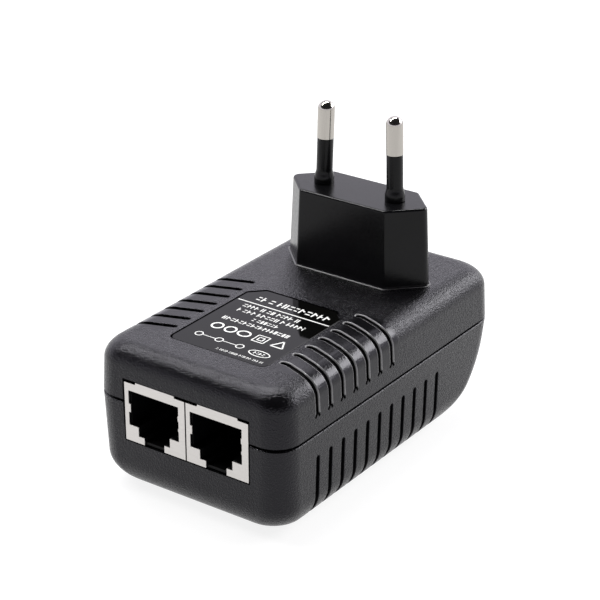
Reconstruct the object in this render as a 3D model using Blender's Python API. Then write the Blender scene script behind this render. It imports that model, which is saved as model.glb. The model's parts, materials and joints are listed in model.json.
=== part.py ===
"""Power-over-Ethernet injector with two network sockets and a two-pin mains plug.

The case is two moulded shells that meet at a parting line.  Sizes below are in millimetres and are
measured from the middle of the socket face at the parting line: x to the right, y towards the plug
end, z up towards the plug pins.  finish() turns them into metres in the part's own frame, whose
origin is under the middle of the case, on its underside.
"""
import math

import bmesh
import bpy
from mathutils import Vector

MM = 0.001
GAP = 0.3                       # clearance between pieces that touch in the real object

# case
CASE_WIDTH = 49.0
CASE_LENGTH = 81.5
TOP_HEIGHT = 12.0               # parting line to top face
BASE_DEPTH = 21.2               # parting line to underside
WALL = 2.0
CORNER_RADIUS = 6.0
TOP_EDGE_RADIUS = 4.3
BASE_EDGE_RADIUS = 7.0
BACK_SWEEP_RADIUS = 17.4        # large round under the plug end
TOP_DRAFT = math.radians(1.0)   # of the two ends
TOP_SIDE_DRAFT = math.radians(3.0)
BASE_DRAFT = math.radians(1.3)
CORNER_STEPS = 6
LIP_INSET = 1.3                 # inner lip of the base shell, and the rebate that takes it
LIP_HEIGHT = 1.2
REBATE_INSET = 1.0
REBATE_HEIGHT = 1.6

# posts that hold the board between the shells
HOLD_DOWN_X = 18.3
HOLD_DOWN_Y = (20.5, 71.0)
BOARD_POST_X = 17.4
BOARD_POST_Y = (14.0, 60.0)
POST_RADIUS = 2.2
POST_TIP_RADIUS = 1.6
POST_STEPS = 10

# grip grooves
GROOVE_PITCH = 4.5
TOP_GROOVE_START = 12.15        # first groove, from the socket face
TOP_GROOVES = 7
TOP_GROOVE_WIDTH = 1.3
TOP_GROOVE_DEPTH = 0.55
TOP_GROOVE_INNER_X = 14.1
TOP_GROOVE_BEND_X = 21.2        # the slanted part ends here
TOP_GROOVE_SLOPE = 0.365        # how far back it runs for each step inwards
TOP_GROOVE_END_Z = 3.9
SLOT_END_TAPER = 0.45           # width at a groove's rounded end, as a share of its full width
BASE_GROOVES = 11
BASE_GROOVE_START = 12.15
BASE_GROOVE_WIDTH = 1.05
BASE_GROOVE_DEPTH = 1.0
BASE_GROOVE_TOP = 5.0           # below the parting line
BASE_GROOVE_INNER_X = 14.5

# rating label and its recess
LABEL_MIDDLE = 0.35
LABEL_HALF_WIDTH = 12.4
LABEL_FRONT = 9.8
LABEL_BACK = 40.3
LABEL_CHAMFER = 3.1
LABEL_CORNER_RADIUS = 1.6
LABEL_RECESS = 0.7
LABEL_THICKNESS = 0.25
LABEL_STEP = 0.12               # label surface below the top face

# plug block and pins
PLUG_Y = 62.3
PLUG_BASE = (36.5, 14.8)
PLUG_TOP = (34.6, 13.7)
PLUG_SPIGOT = (31.0, 10.4)
PLUG_TOP_Z = 29.94
PLUG_TIP_RADIUS = 1.5
PLUG_EDGE = 0.6
FLANGE_THICKNESS = 2.0
PIN_PITCH = 18.6                # at the plug face
PIN_LEAN = math.radians(1.66)   # each pin leans inwards
PIN_LENGTH = 19.0
PIN_RADIUS = 1.9
PIN_SHANK_RADIUS = 1.2
PIN_TAIL = 24.5
SLEEVE_LENGTH = 10.5
SLEEVE_RADIUS = 1.82
SLEEVE_BORE = 1.5
SLEEVE_SEAT = 3.0
COLLAR_RADIUS = 2.25
COLLAR_LENGTH = 3.2
COLLAR_TAPER = 0.1
COLLAR_SET = 0.6                # depth of the counterbore that takes the foot of the collar
ROUND_STEPS = 20
SMOOTH_ANGLE = math.radians(35) # facets that meet at less than this are shaded as one round

# insulated leads from the pins to the board
LEAD_FOOT_X = 8.6
LEAD_SET_BACK = 1.4
LEAD_BOW = 1.2
LEAD_RADIUS = 0.6
LEAD_HOLE_RADIUS = 1.5
LEAD_STEPS = 10

# network sockets
JACK_CENTRES = {"left": -8.0, "right": 8.0}
JACK_WIDTH = 15.7
JACK_BOTTOM = -8.82
JACK_TOP = 4.58
JACK_FRONT = 0.15
JACK_DEPTH = 16.0
SHEET = 0.3
SHIELD_TAB_Y = 8.0
SHIELD_TAB_WIDTH = 1.6
SHIELD_TAB_OVERLAP = 2.0
SHIELD_SLOT_HALF = 0.9          # slot in the board for the shield tabs
MOUTH_SHIFT = -0.3              # the mouth sits a little left of the shield's middle
MOUTH_HALF = 6.5
MOUTH_TOP = 2.85
MOUTH_FLOOR = -5.1
STEP_HALF = 4.1
STEP_FLOOR = -7.2
LATCH_HALF = 2.6
TAB_IN = 0.5
TAB_TOP = -0.2
TAB_BOTTOM = -2.15
HOUSING_SHRINK = 0.3            # the plastic shows this far inside the metal edge
HOUSING_FLOOR = 0.6
HOUSING_LIP = 2.0               # solid roof in front of the contacts
ROOF_SKIN = 0.5
INSERT_HALF = 4.8
INSERT_PLATE = 0.55
INSERT_WALL_Y = 13.6            # clear of the contact tips when they spring up
CONTACTS = 8
CONTACT_PITCH = 1.02
CONTACT_SIZE = 0.34
CONTACT_ROOT = (4.9, 2.2)       # y, z of the bend that each contact turns about
CONTACT_FREE = (12.4, -0.5)
CONTACT_TIP = (0.5, 0.35)       # y, z from there to the turned-up tip

# circuit board
BOARD_TOP = JACK_BOTTOM - GAP
BOARD_THICKNESS = 1.6
BOARD_HALF_WIDTH = 20.6
BOARD_FRONT = 3.0
BOARD_BACK = 75.5
BOARD_CORNER = 4.0
SEAT = BOARD_TOP + GAP          # underside of the parts that stand on the board
LEG_RADIUS = 0.35
LEG_HOLE_RADIUS = 0.7
LEG_END = BOARD_TOP - BOARD_THICKNESS - 1.4

# transformer, placed about its own middle
TRANSFORMER = (-2.0, 42.0)
CORE_HALF_X = 9.5
CORE_HALF_Y = 2.5
CORE_FOOT = SEAT + 0.5
YOKE = 2.4
WINDOW_HEIGHT = 9.4
CENTRE_LEG = 2.4
SIDE_LEG = 2.2
BOBBIN_WALL = 0.8
BOBBIN_FLANGE = 1.0
BOBBIN_HALF = (6.8, 7.8)
RAIL_STAND_OFF = 2.0
RAIL_OVERHANG = 1.2

# colour, roughness, metallic
CASE_BLACK = ((0.030, 0.030, 0.033), 0.55, 0.0)
PLUG_BLACK = ((0.014, 0.014, 0.015), 0.35, 0.0)
LABEL_GREY = ((0.045, 0.046, 0.046), 0.40, 0.0)
NICKEL = ((0.78, 0.76, 0.73), 0.22, 1.0)
GOLD = ((0.85, 0.62, 0.25), 0.25, 1.0)
JACK_BLACK = ((0.010, 0.010, 0.011), 0.45, 0.0)
BOARD_GREEN = ((0.04, 0.17, 0.08), 0.50, 0.0)
FERRITE = ((0.06, 0.06, 0.065), 0.60, 0.0)
COPPER = ((0.72, 0.35, 0.16), 0.35, 1.0)
TAPE_YELLOW = ((0.80, 0.62, 0.10), 0.45, 0.0)
EPOXY_BLACK = ((0.02, 0.02, 0.02), 0.50, 0.0)
CAN_GREY = ((0.10, 0.11, 0.14), 0.35, 0.0)
DISC_BLUE = ((0.06, 0.16, 0.42), 0.45, 0.0)
WIRE_RED = ((0.45, 0.03, 0.03), 0.45, 0.0)

board_holes = []                # (x, y, radius) for every leg that passes through the board


def clear_scene():
    for old in list(bpy.data.objects):
        bpy.data.objects.remove(old, do_unlink=True)


def finish(name, bm, look=None):
    """Turn a mesh in millimetres into an object in metres, with its own material if it has a look."""
    bmesh.ops.recalc_face_normals(bm, faces=bm.faces)
    for vertex in bm.verts:
        x, y, z = vertex.co
        vertex.co = (x * MM, (y - CASE_LENGTH / 2) * MM, (z + BASE_DEPTH) * MM)
    mesh = bpy.data.meshes.new(name)
    bm.to_mesh(mesh)
    bm.free()
    thing = bpy.data.objects.new(name, mesh)
    bpy.context.scene.collection.objects.link(thing)
    if look:
        paint(thing, look)
    return thing


def paint(thing, look):
    colour, roughness, metallic = look
    material = bpy.data.materials.new(thing.name)
    material.use_nodes = True
    shader = material.node_tree.nodes["Principled BSDF"]
    shader.inputs["Base Color"].default_value = (*colour, 1.0)
    shader.inputs["Roughness"].default_value = roughness
    shader.inputs["Metallic"].default_value = metallic
    thing.data.materials.append(material)


def tool(name, bm):
    """A cutter or an addition that only shapes another object."""
    thing = finish(name, bm)
    thing.hide_render = True
    thing.display_type = "WIRE"
    return thing


def combine(target, helper, operation):
    step = target.modifiers.new(helper.name, "BOOLEAN")
    step.operation = operation
    step.solver = "EXACT"
    step.object = helper


def cut(target, name, bm):
    combine(target, tool(name, bm), "DIFFERENCE")


def add(target, name, bm):
    combine(target, tool(name, bm), "UNION")


def round_shading(thing):
    thing.data.shade_smooth()
    thing.data.set_sharp_from_angle(angle=SMOOTH_ANGLE)


# ---------------------------------------------------------------- mesh builders

def add_loft(bm, rings):
    """Skin a list of rings of equal length, and cap both ends."""
    rows = [[bm.verts.new(point) for point in ring] for ring in rings]
    count = len(rows[0])
    for lower, upper in zip(rows, rows[1:]):
        for i in range(count):
            j = (i + 1) % count
            bm.faces.new((lower[i], lower[j], upper[j], upper[i]))
    bm.faces.new(rows[0])
    bm.faces.new(rows[-1])


def loft(rings):
    bm = bmesh.new()
    add_loft(bm, rings)
    return bm


def add_box(bm, low, high):
    corners = ((low[0], low[1]), (high[0], low[1]), (high[0], high[1]), (low[0], high[1]))
    add_loft(bm, [[(x, y, z) for x, y in corners] for z in (low[2], high[2])])


def box(low, high):
    bm = bmesh.new()
    add_box(bm, low, high)
    return bm


def front_prism(outline, low_y, high_y):
    """Extrude an outline given as (x, z) along y."""
    return loft([[(x, y, z) for x, z in outline] for y in (low_y, high_y)])


def flat_prism(outline, low_z, high_z):
    """Extrude an outline given as (x, y) along z."""
    return loft([[(x, y, z) for x, y in outline] for z in (low_z, high_z)])


def arc(centre, radius, start, end, steps):
    points = []
    for i in range(steps + 1):
        angle = math.radians(start + (end - start) * i / steps)
        points.append((centre[0] + radius * math.cos(angle), centre[1] + radius * math.sin(angle)))
    return points


def rounded_rectangle(half_width, front, back, radius, steps):
    left, right = radius - half_width, half_width - radius
    outline = arc((right, front + radius), radius, -90, 0, steps)
    outline += arc((right, back - radius), radius, 0, 90, steps)
    outline += arc((left, back - radius), radius, 90, 180, steps)
    outline += arc((left, front + radius), radius, 180, 270, steps)
    return outline


def frame_across(direction):
    """Two unit vectors square to a direction and to each other."""
    direction = direction.normalized()
    helper = Vector((0, 1, 0)) if abs(direction.y) < 0.9 else Vector((1, 0, 0))
    first = direction.cross(helper).normalized()
    return first, direction.cross(first)


def circle_ring(centre, direction, radius, steps):
    first, second = frame_across(direction)
    ring = []
    for i in range(steps):
        angle = 2 * math.pi * i / steps
        ring.append(centre + radius * (math.cos(angle) * first + math.sin(angle) * second))
    return ring


def add_turned(bm, profile, origin, direction, steps=ROUND_STEPS):
    """Turn a profile of (distance along the axis, radius) about an axis."""
    origin, direction = Vector(origin), Vector(direction).normalized()
    add_loft(bm, [circle_ring(origin + s * direction, direction, r, steps) for s, r in profile])


def turned(profile, origin, direction, steps=ROUND_STEPS):
    bm = bmesh.new()
    add_turned(bm, profile, origin, direction, steps)
    return bm


def wire(points, radius, steps=8):
    """A round wire along a list of points."""
    points = [Vector(point) for point in points]
    rings = []
    for i, point in enumerate(points):
        before = points[max(i - 1, 0)]
        after = points[min(i + 1, len(points) - 1)]
        rings.append(circle_ring(point, after - before, radius, steps))
    return loft(rings)


# ---------------------------------------------------------------- case

def edge_inset(drop, depth, radius, draft):
    """How far a wall has moved in at a distance from the parting line: its draft and its edge round."""
    over = max(drop - (depth - radius), 0.0)
    return drop * math.tan(draft) + radius - math.sqrt(max(radius * radius - over * over, 0.0))


def top_ring(z, inset):
    depth, radius = TOP_HEIGHT - inset, TOP_EDGE_RADIUS - inset
    side = inset + edge_inset(z, depth, radius, TOP_SIDE_DRAFT)
    end = inset + edge_inset(z, depth, radius, TOP_DRAFT)
    outline = rounded_rectangle(
        CASE_WIDTH / 2 - side, end, CASE_LENGTH - end, CORNER_RADIUS - end, CORNER_STEPS)
    return [(x, y, z) for x, y in outline]


def base_ring(z, inset):
    depth = BASE_DEPTH - inset
    side = inset + edge_inset(-z, depth, BASE_EDGE_RADIUS - inset, BASE_DRAFT)
    back = inset + edge_inset(-z, depth, BACK_SWEEP_RADIUS - inset, BASE_DRAFT)
    outline = rounded_rectangle(
        CASE_WIDTH / 2 - side, side, CASE_LENGTH - back, CORNER_RADIUS - inset, CORNER_STEPS)
    return [(x, y, z) for x, y in outline]


def round_levels(depth, radius, steps):
    """Distances from the parting line that follow an edge round."""
    start = depth - radius
    return [start + radius * math.sin(math.radians(90) * i / steps) for i in range(steps + 1)]


def make_top_shell():
    outer = [top_ring(z, 0.0) for z in round_levels(TOP_HEIGHT, TOP_EDGE_RADIUS, 4)]
    inner = [top_ring(z, WALL) for z in round_levels(TOP_HEIGHT - WALL, TOP_EDGE_RADIUS - WALL, 3)]
    rings = outer[::-1]
    rings.append(top_ring(GAP / 2, 0.0))
    rings.append(top_ring(GAP / 2, REBATE_INSET))
    rings.append(top_ring(REBATE_HEIGHT, REBATE_INSET))
    rings.append(top_ring(REBATE_HEIGHT, WALL))
    rings += inner
    shell = finish("top_shell", loft(rings), CASE_BLACK)
    cut(shell, "top_groove_cutter", top_groove_cutters())
    cut(shell, "label_recess_cutter", label_prism(0.0, TOP_HEIGHT - LABEL_RECESS, TOP_HEIGHT + WALL))
    spigot_hole = flat_prism(plug_outline(PLUG_SPIGOT, GAP), TOP_HEIGHT - 2 * WALL, TOP_HEIGHT + WALL)
    cut(shell, "plug_hole_cutter", spigot_hole)
    cut(shell, "top_jack_cutter", jack_opening())
    posts = bmesh.new()
    for x in (-HOLD_DOWN_X, HOLD_DOWN_X):
        for y in HOLD_DOWN_Y:
            profile = [(SEAT, POST_TIP_RADIUS), (TOP_HEIGHT - WALL / 2, POST_RADIUS)]
            add_turned(posts, profile, (x, y, 0), (0, 0, 1), POST_STEPS)
    add(shell, "hold_down_posts", posts)
    round_shading(shell)


def make_bottom_shell():
    outer = [base_ring(-z, 0.0) for z in round_levels(BASE_DEPTH, BACK_SWEEP_RADIUS, 6)]
    inner = [base_ring(-z, WALL) for z in round_levels(BASE_DEPTH - WALL, BACK_SWEEP_RADIUS - WALL, 5)]
    rings = outer[::-1]
    rings.append(base_ring(-GAP / 2, 0.0))
    rings.append(base_ring(-GAP / 2, LIP_INSET))
    rings.append([(x, y, LIP_HEIGHT) for x, y, z in base_ring(0.0, LIP_INSET)])
    rings.append([(x, y, LIP_HEIGHT) for x, y, z in base_ring(0.0, WALL)])
    rings += inner
    shell = finish("bottom_shell", loft(rings), CASE_BLACK)
    cut(shell, "base_groove_cutter", base_groove_cutters())
    cut(shell, "base_jack_cutter", jack_opening())
    posts = bmesh.new()
    for x in (-BOARD_POST_X, BOARD_POST_X):
        for y in BOARD_POST_Y:
            head = BOARD_TOP - BOARD_THICKNESS - GAP
            profile = [(WALL / 2 - BASE_DEPTH, POST_RADIUS), (head, POST_TIP_RADIUS)]
            add_turned(posts, profile, (x, y, 0), (0, 0, 1), POST_STEPS)
    add(shell, "board_posts", posts)
    round_shading(shell)


def add_slot(bm, points, normals, width, depth):
    """A slot of constant depth that follows a surface, for cutting: a swept bar with tapered ends."""
    points = [Vector(point) for point in points]
    normals = [Vector(normal).normalized() for normal in normals]
    stations = []
    last = len(points) - 1
    for i, point in enumerate(points):
        along = (points[min(i + 1, last)] - points[max(i - 1, 0)]).normalized()
        stations.append((point, along, normals[i], width))
    first, final = stations[0], stations[-1]
    taper = width * SLOT_END_TAPER
    stations.insert(0, (first[0] - first[1] * width / 2, first[1], first[2], taper))
    stations.append((final[0] + final[1] * width / 2, final[1], final[2], taper))
    rings = []
    for point, along, normal, wide in stations:
        across = along.cross(normal).normalized() * wide / 2
        top, bottom = normal * width, -normal * depth
        rings.append([point + across + top, point - across + top,
                      point - across + bottom, point + across + bottom])
    add_loft(bm, rings)


def top_groove_cutters():
    bm = bmesh.new()
    for side in (-1, 1):
        for i in range(TOP_GROOVES):
            y = TOP_GROOVE_START + GROOVE_PITCH * i
            path = [(TOP_GROOVE_INNER_X + side * LABEL_MIDDLE, TOP_HEIGHT, (0, 1))]
            for turn in (0, 30, 60, 90):
                out, up = math.sin(math.radians(turn)), math.cos(math.radians(turn))
                z = TOP_HEIGHT - TOP_EDGE_RADIUS * (1 - up)
                inset = edge_inset(z, TOP_HEIGHT, TOP_EDGE_RADIUS, TOP_SIDE_DRAFT)
                path.append((CASE_WIDTH / 2 - inset, z, (out, up)))
            end_z = TOP_GROOVE_END_Z + TOP_GROOVE_WIDTH / 2
            inset = edge_inset(end_z, TOP_HEIGHT, TOP_EDGE_RADIUS, TOP_SIDE_DRAFT)
            path.append((CASE_WIDTH / 2 - inset, end_z, (1, 0)))
            points, normals = [], []
            for x, z, (out, up) in path:
                back = y + TOP_GROOVE_SLOPE * max(TOP_GROOVE_BEND_X - x, 0.0)
                points.append((side * x, back, z))
                normals.append((side * out, 0, up))
            add_slot(bm, points, normals, TOP_GROOVE_WIDTH, TOP_GROOVE_DEPTH)
    return bm


def base_groove_cutters():
    bm = bmesh.new()
    drops = [BASE_GROOVE_TOP + BASE_GROOVE_WIDTH / 2]
    drops += round_levels(BASE_DEPTH, BASE_EDGE_RADIUS, 4)
    for side in (-1, 1):
        for i in range(BASE_GROOVES):
            y = BASE_GROOVE_START + GROOVE_PITCH * i
            points, normals = [], []
            for drop in drops:
                over = max(drop - (BASE_DEPTH - BASE_EDGE_RADIUS), 0.0) / BASE_EDGE_RADIUS
                inset = edge_inset(drop, BASE_DEPTH, BASE_EDGE_RADIUS, BASE_DRAFT)
                points.append((side * (CASE_WIDTH / 2 - inset), y, -drop))
                normals.append((side * math.sqrt(1.0 - min(over, 1.0) ** 2), 0, -over))
            points.append((side * BASE_GROOVE_INNER_X, y, -BASE_DEPTH))
            normals.append((0, 0, -1))
            add_slot(bm, points, normals, BASE_GROOVE_WIDTH, BASE_GROOVE_DEPTH)
    return bm


def jack_opening():
    side = JACK_CENTRES["right"] + JACK_WIDTH / 2 + GAP
    return box((-side, -WALL, JACK_BOTTOM - GAP), (side, 2.5 * WALL, JACK_TOP + GAP))


def label_prism(inset, low_z, high_z):
    """The label outline: square at the socket end, chamfered at the plug end."""
    left, right = LABEL_MIDDLE - LABEL_HALF_WIDTH + inset, LABEL_MIDDLE + LABEL_HALF_WIDTH - inset
    front, back = LABEL_FRONT + inset, LABEL_BACK - inset
    radius = LABEL_CORNER_RADIUS
    outline = arc((right - radius, front + radius), radius, -90, 0, 3)
    outline += [(right, back - LABEL_CHAMFER), (right - LABEL_CHAMFER, back)]
    outline += [(left + LABEL_CHAMFER, back), (left, back - LABEL_CHAMFER)]
    outline += arc((left + radius, front + radius), radius, 180, 270, 3)
    return flat_prism(outline, low_z, high_z)


def make_label():
    surface = TOP_HEIGHT - LABEL_STEP
    finish("rating_label", label_prism(GAP, surface - LABEL_THICKNESS, surface), LABEL_GREY)


# ---------------------------------------------------------------- plug

def plug_outline(size, grow=0.0):
    """Long hexagon with rounded tips, as (x, y) about the plug's middle."""
    half_length, half_width = size[0] / 2 + grow, size[1] / 2 + grow
    tip_corner = half_length + PLUG_TIP_RADIUS * (math.sqrt(2) - 1)
    shoulder = tip_corner - half_width
    outline = []
    for side in (1, -1):
        centre = side * (half_length - PLUG_TIP_RADIUS)
        turn = 0 if side > 0 else 180
        outline.append((side * shoulder, PLUG_Y - side * half_width))
        outline += arc((centre, PLUG_Y), PLUG_TIP_RADIUS, turn - 45, turn + 45, 4)
        outline.append((side * shoulder, PLUG_Y + side * half_width))
    return outline


def plug_ring(size, z, grow=0.0):
    return [(x, y, z) for x, y in plug_outline(size, grow)]


def make_plug_block():
    flange_top = TOP_HEIGHT - WALL - GAP
    rings = [
        plug_ring(PLUG_BASE, flange_top - FLANGE_THICKNESS),
        plug_ring(PLUG_BASE, flange_top),
        plug_ring(PLUG_SPIGOT, flange_top),
        plug_ring(PLUG_SPIGOT, TOP_HEIGHT + GAP),
        plug_ring(PLUG_BASE, TOP_HEIGHT + GAP),
        plug_ring(PLUG_TOP, PLUG_TOP_Z - PLUG_EDGE),
        plug_ring(PLUG_TOP, PLUG_TOP_Z, -PLUG_EDGE),
    ]
    block = finish("plug_block", loft(rings), PLUG_BLACK)
    bores = bmesh.new()
    for side in (-1, 1):
        origin, direction = pin_axis(side)
        seat = -SLEEVE_SEAT - GAP
        tail_bore = PIN_SHANK_RADIUS + GAP
        sleeve_bore = SLEEVE_RADIUS + GAP
        collar_bore = COLLAR_RADIUS + GAP
        profile = [(-PIN_TAIL, tail_bore), (seat, tail_bore), (seat, sleeve_bore),
                   (-COLLAR_SET, sleeve_bore), (-COLLAR_SET, collar_bore), (WALL, collar_bore)]
        add_turned(bores, profile, origin, direction)
    cut(block, "pin_bore_cutter", bores)


def pin_axis(side):
    origin = Vector((side * PIN_PITCH / 2, PLUG_Y, PLUG_TOP_Z))
    return origin, Vector((-side * math.sin(PIN_LEAN), 0, math.cos(PIN_LEAN)))


def make_pin(name, side):
    """A solid pin: thin shank inside the sleeve and block, full diameter and a domed tip outside."""
    origin, direction = pin_axis(side)
    profile = [(-PIN_TAIL, PIN_SHANK_RADIUS), (SLEEVE_LENGTH, PIN_SHANK_RADIUS), (SLEEVE_LENGTH, PIN_RADIUS)]
    dome = PIN_LENGTH - PIN_RADIUS
    for turn in (0, 22, 44, 66, 84):
        angle = math.radians(turn)
        profile.append((dome + PIN_RADIUS * math.sin(angle), PIN_RADIUS * math.cos(angle)))
    pin = finish("plug_pin_" + name, turned(profile, origin, direction), NICKEL)
    round_shading(pin)


def make_sleeve(name, side):
    origin, direction = pin_axis(side)
    end = SLEEVE_LENGTH - GAP
    foot = GAP - COLLAR_SET
    profile = [
        (-SLEEVE_SEAT, SLEEVE_BORE), (-SLEEVE_SEAT, SLEEVE_RADIUS), (foot, SLEEVE_RADIUS), (foot, COLLAR_RADIUS),
        (COLLAR_LENGTH / 2, COLLAR_RADIUS - COLLAR_TAPER), (COLLAR_LENGTH, SLEEVE_RADIUS), (end, SLEEVE_RADIUS),
        (end, SLEEVE_BORE),
    ]
    bm = bmesh.new()
    rings = [circle_ring(origin + s * direction, direction, r, ROUND_STEPS) for s, r in profile]
    rows = [[bm.verts.new(point) for point in ring] for ring in rings]
    for lower, upper in zip(rows, rows[1:] + rows[:1]):
        for i in range(ROUND_STEPS):
            j = (i + 1) % ROUND_STEPS
            bm.faces.new((lower[i], lower[j], upper[j], upper[i]))
    sleeve = finish("pin_sleeve_" + name, bm, PLUG_BLACK)
    round_shading(sleeve)


def make_mains_lead(name, side):
    """Insulated lead from the tail of a pin down through the board."""
    origin, direction = pin_axis(side)
    start = origin - direction * (PIN_TAIL + GAP)
    foot_x, foot_y = side * LEAD_FOOT_X, PLUG_Y - LEAD_SET_BACK
    drop = start.z - LEG_END
    points = []
    for i in range(LEAD_STEPS + 1):
        t = i / LEAD_STEPS
        blend = t * t * (3 - 2 * t)
        x = start.x + (foot_x - start.x) * blend + side * LEAD_BOW * math.sin(math.pi * t)
        points.append((x, start.y + (foot_y - start.y) * blend, start.z - drop * t))
    board_holes.append((foot_x, foot_y, LEAD_HOLE_RADIUS))
    round_shading(finish("mains_lead_" + name, wire(points, LEAD_RADIUS), WIRE_RED))


# ---------------------------------------------------------------- network sockets

def mouth_outline(centre, shrink, with_tabs, bottom):
    """Socket opening: a wide mouth for the plug, two steps, and the latch channel down to the bottom."""
    mouth, step, latch = MOUTH_HALF - shrink, STEP_HALF - shrink / 2, LATCH_HALF - shrink / 4
    right = [(mouth, MOUTH_TOP - shrink / 4)]
    if with_tabs:
        right += [(mouth, TAB_TOP), (mouth - TAB_IN, TAB_TOP)]
        right += [(mouth - TAB_IN, TAB_BOTTOM), (mouth, TAB_BOTTOM)]
    right += [(mouth, MOUTH_FLOOR), (step, MOUTH_FLOOR), (step, STEP_FLOOR), (latch, STEP_FLOOR)]
    right.append((latch, bottom))
    left = [(-x, z) for x, z in reversed(right)]
    return [(centre + MOUTH_SHIFT + x, z) for x, z in right + left]


def make_shield(name, centre):
    half = JACK_WIDTH / 2
    shield = finish("jack_shield_" + name, box(
        (centre - half, JACK_FRONT, JACK_BOTTOM), (centre + half, JACK_DEPTH, JACK_TOP)), NICKEL)
    hollow = box((centre - half + SHEET, JACK_FRONT + SHEET, JACK_BOTTOM - WALL),
                 (centre + half - SHEET, JACK_DEPTH - SHEET, JACK_TOP - SHEET))
    cut(shield, "shield_hollow_" + name, hollow)
    mouth = mouth_outline(centre, 0.0, True, JACK_BOTTOM - WALL)
    cut(shield, "shield_mouth_" + name, front_prism(mouth, -WALL, JACK_FRONT + 2 * SHEET))
    tabs = bmesh.new()
    for side in (-1, 1):
        outer, inner = centre + side * half, centre + side * (half - SHEET)
        low = (min(outer, inner), SHIELD_TAB_Y, LEG_END)
        high = (max(outer, inner), SHIELD_TAB_Y + SHIELD_TAB_WIDTH, JACK_BOTTOM + SHIELD_TAB_OVERLAP)
        add_box(tabs, low, high)
    add(shield, "shield_tabs_" + name, tabs)


def make_housing(name, centre):
    half = JACK_WIDTH / 2 - SHEET - GAP
    top = JACK_TOP - SHEET - GAP
    front, back = JACK_FRONT + SHEET + GAP, JACK_DEPTH - SHEET - GAP
    body = box((centre - half, front, JACK_BOTTOM), (centre + half, back, top))
    housing = finish("jack_housing_" + name, body, JACK_BLACK)
    socket = mouth_outline(centre, HOUSING_SHRINK, False, JACK_BOTTOM + HOUSING_FLOOR)
    cut(housing, "socket_cutter_" + name, front_prism(socket, -WALL, JACK_DEPTH + WALL))
    left, right = centre - INSERT_HALF - GAP, centre + INSERT_HALF + GAP
    roof = box((left, HOUSING_LIP, MOUTH_TOP - 1), (right, JACK_DEPTH + WALL, top - ROOF_SKIN))
    cut(housing, "contact_roof_cutter_" + name, roof)


def make_insert(name, centre):
    """Moulded insert that carries the eight contacts: a rear wall and a thin roof plate."""
    back = JACK_DEPTH - SHEET - GAP
    top = JACK_TOP - SHEET - 2 * GAP - ROOF_SKIN
    plate = top - INSERT_PLATE
    left, right = centre - INSERT_HALF, centre + INSERT_HALF
    roof = box((left, CONTACT_ROOT[0] - 2 * GAP, plate), (right, back, top))
    insert = finish("contact_insert_" + name, roof, JACK_BLACK)
    wall = box((left, INSERT_WALL_Y, MOUTH_FLOOR + GAP), (right, back, plate + INSERT_PLATE / 2))
    add(insert, "insert_wall_" + name, wall)


def make_contact(name, centre, number):
    """One spring contact: it slopes down into the socket from its root, and its tip turns up."""
    x = centre + (number - (CONTACTS + 1) / 2) * CONTACT_PITCH
    half = CONTACT_SIZE / 2
    root_y, root_z = CONTACT_ROOT
    free_y, free_z = CONTACT_FREE
    slope = Vector((0, free_y - root_y, free_z - root_z)).normalized()
    normal = Vector((0, -slope.z, slope.y))
    stations = [(root_y, root_z), (free_y, free_z), (free_y + CONTACT_TIP[0], free_z + CONTACT_TIP[1])]
    rings = []
    for y, z in stations:
        middle = Vector((x, y, z))
        across = Vector((half, 0, 0))
        up = normal * half
        rings.append([middle - across - up, middle + across - up, middle + across + up, middle - across + up])
    finish("contact_%s_%d" % (name, number), loft(rings), GOLD)


# ---------------------------------------------------------------- circuit board and its parts

def legged(thing, name, places, top):
    """Give a part its legs, and note the holes that they need in the board."""
    bm = bmesh.new()
    for x, y in places:
        add_turned(bm, [(LEG_END, LEG_RADIUS), (top, LEG_RADIUS)], (x, y, 0), (0, 0, 1), 6)
        board_holes.append((x, y, LEG_HOLE_RADIUS))
    add(thing, name + "_legs", bm)


def pair(x, y, apart, along_x=True):
    half = apart / 2
    if along_x:
        return [(x - half, y), (x + half, y)]
    return [(x, y - half), (x, y + half)]


def make_can(name, x, y, diameter, height, apart, look):
    """Electrolytic capacitor: a sleeved can with a crimp groove and a rounded shoulder."""
    radius = diameter / 2
    profile = [
        (0.0, radius - 0.5), (0.5, radius), (1.5, radius), (2.0, radius - 0.4), (2.6, radius),
        (height - 0.6, radius), (height, radius - 0.6),
    ]
    can = finish(name, turned(profile, (x, y, SEAT), (0, 0, 1), 20), look)
    legged(can, name, pair(x, y, apart), SEAT + 1)
    round_shading(can)


def make_drum(name, x, y, diameter, height, apart, look):
    """Drum-core choke: two flanges with the winding between them."""
    radius = diameter / 2
    profile = [(0.0, radius), (1.0, radius), (1.0, radius - 0.8), (height - 1.0, radius - 0.8),
               (height - 1.0, radius), (height, radius)]
    drum = finish(name, turned(profile, (x, y, SEAT), (0, 0, 1), 16), look)
    legged(drum, name, pair(x, y, apart), SEAT + 0.5)
    round_shading(drum)


def make_block(name, x, y, size, places, look):
    half_x, half_y = size[0] / 2, size[1] / 2
    part = finish(name, box((x - half_x, y - half_y, SEAT), (x + half_x, y + half_y, SEAT + size[2])), look)
    legged(part, name, [(x + dx, y + dy) for dx, dy in places], SEAT + 0.5)


def make_disc(name, x, y, diameter, thickness, apart, look):
    """Ceramic disc capacitor standing on its two legs."""
    radius = diameter / 2
    centre = (x - thickness / 2, y, SEAT + radius + 1.0)
    profile = [(0.0, radius - 1.0), (0.8, radius), (thickness - 0.8, radius), (thickness, radius - 1.0)]
    disc = finish(name, turned(profile, centre, (1, 0, 0), 16), look)
    legged(disc, name, pair(x, y, apart, along_x=False), SEAT + radius)
    round_shading(disc)


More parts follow.
